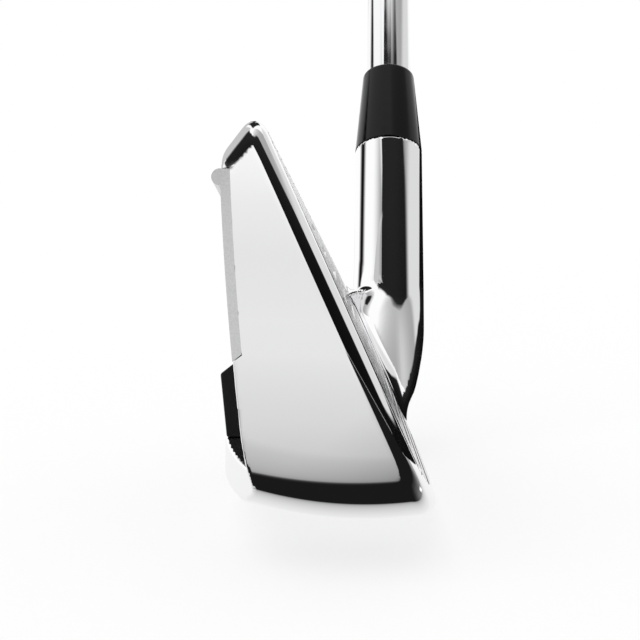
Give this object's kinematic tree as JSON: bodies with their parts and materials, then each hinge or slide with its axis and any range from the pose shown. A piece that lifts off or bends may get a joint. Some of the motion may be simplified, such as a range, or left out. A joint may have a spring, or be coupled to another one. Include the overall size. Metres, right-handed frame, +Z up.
{
  "type": "golf club iron",
  "caption": "Right-handed iron golf club at address: hollow chrome head with offset hosel, scored face plate, black muscle bar, black ferrule, stepped steel shaft and rubber grip.",
  "frame": {"origin": "on the shaft axis, in the middle of the stretch of grip that the hands hold, 110 mm below the end of the cap", "axes": "+X is the target side that the face looks to, -Y points from the heel to the toe, +Z is up with the club soled at its lie angle"},
  "size_m": [0.0411, 0.5442, 0.8572],
  "materials": {
    "chrome_casting": "polished",
    "face_steel": "fine blasted",
    "badge_satin": "satin brushed",
    "bond_tape": "matte",
    "bar_black": "semi-gloss",
    "tungsten": "sintered",
    "urethane": "matte",
    "epoxy": "matte",
    "pin_brass": "turned",
    "shaft_chrome": "polished",
    "ferrule_black": "gloss",
    "grip_tape": "matte",
    "grip_rubber": "matte",
    "cap_rubber": "matte"
  },
  "bodies": {
    "root": {"head_body": "chrome_casting", "face_plate": "face_steel", "rear_badge": "badge_satin", "badge_tape": "bond_tape", "muscle_bar": "bar_black", "bar_tape": "bond_tape", "sole_weight": "tungsten", "damping_core": "urethane", "hosel_adhesive": "epoxy", "tip_pin": "pin_brass", "shaft": "shaft_chrome", "ferrule": "ferrule_black", "grip_tape": "grip_tape", "grip": "grip_rubber", "grip_cap": "cap_rubber"}
  },
  "joints": []
}
